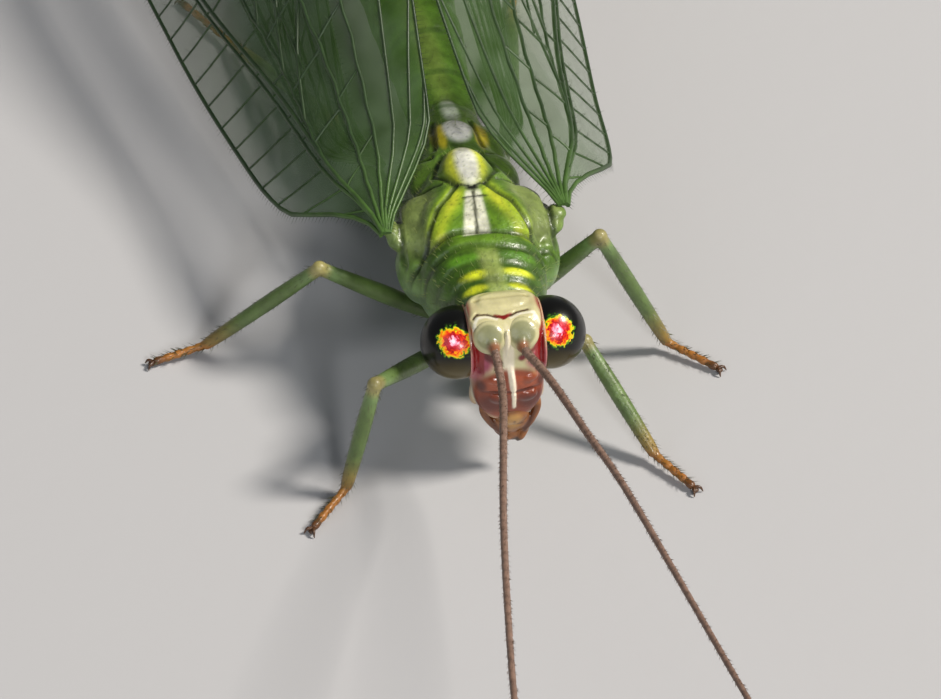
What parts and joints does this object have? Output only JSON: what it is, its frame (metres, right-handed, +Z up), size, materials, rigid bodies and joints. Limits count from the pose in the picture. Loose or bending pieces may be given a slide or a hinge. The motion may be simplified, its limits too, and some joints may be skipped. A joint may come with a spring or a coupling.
{
  "type": "green lacewing insect model",
  "caption": "Adult green lacewing at rest, long antennae forward, veined wings folded like a roof over a slender green body, legs spread on the floor.",
  "frame": {"origin": "middle of the outer box in plan, on the floor that the feet rest on", "axes": "+Z up, +Y from head to wing tips, +X to the insect's own left"},
  "size_m": [0.0076, 0.032, 0.0057],
  "materials": {
    "head_cuticle": "smooth pale cuticle with a soft shine",
    "eye": "glossy compound eye with fine facets",
    "antenna_cuticle": "fine ringed brown cuticle, matt",
    "green_cuticle": "waxy green cuticle with yellow markings",
    "wing_membrane": "clear thin membrane with green veins",
    "leg_cuticle": "satin green cuticle, amber toward the feet"
  },
  "bodies": {
    "root": {"head": "head_cuticle", "eye_left": "eye", "eye_right": "eye", "antenna_left": "antenna_cuticle", "antenna_right": "antenna_cuticle", "prothorax": "green_cuticle", "mesothorax": "green_cuticle", "metathorax": "green_cuticle", "abdomen": "green_cuticle", "forewing_left": "wing_membrane", "forewing_right": "wing_membrane", "hindwing_left": "wing_membrane", "hindwing_right": "wing_membrane", "leg_fore_left": "leg_cuticle", "leg_fore_right": "leg_cuticle", "leg_mid_left": "leg_cuticle", "leg_mid_right": "leg_cuticle", "leg_hind_left": "leg_cuticle", "leg_hind_right": "leg_cuticle"}
  },
  "joints": []
}
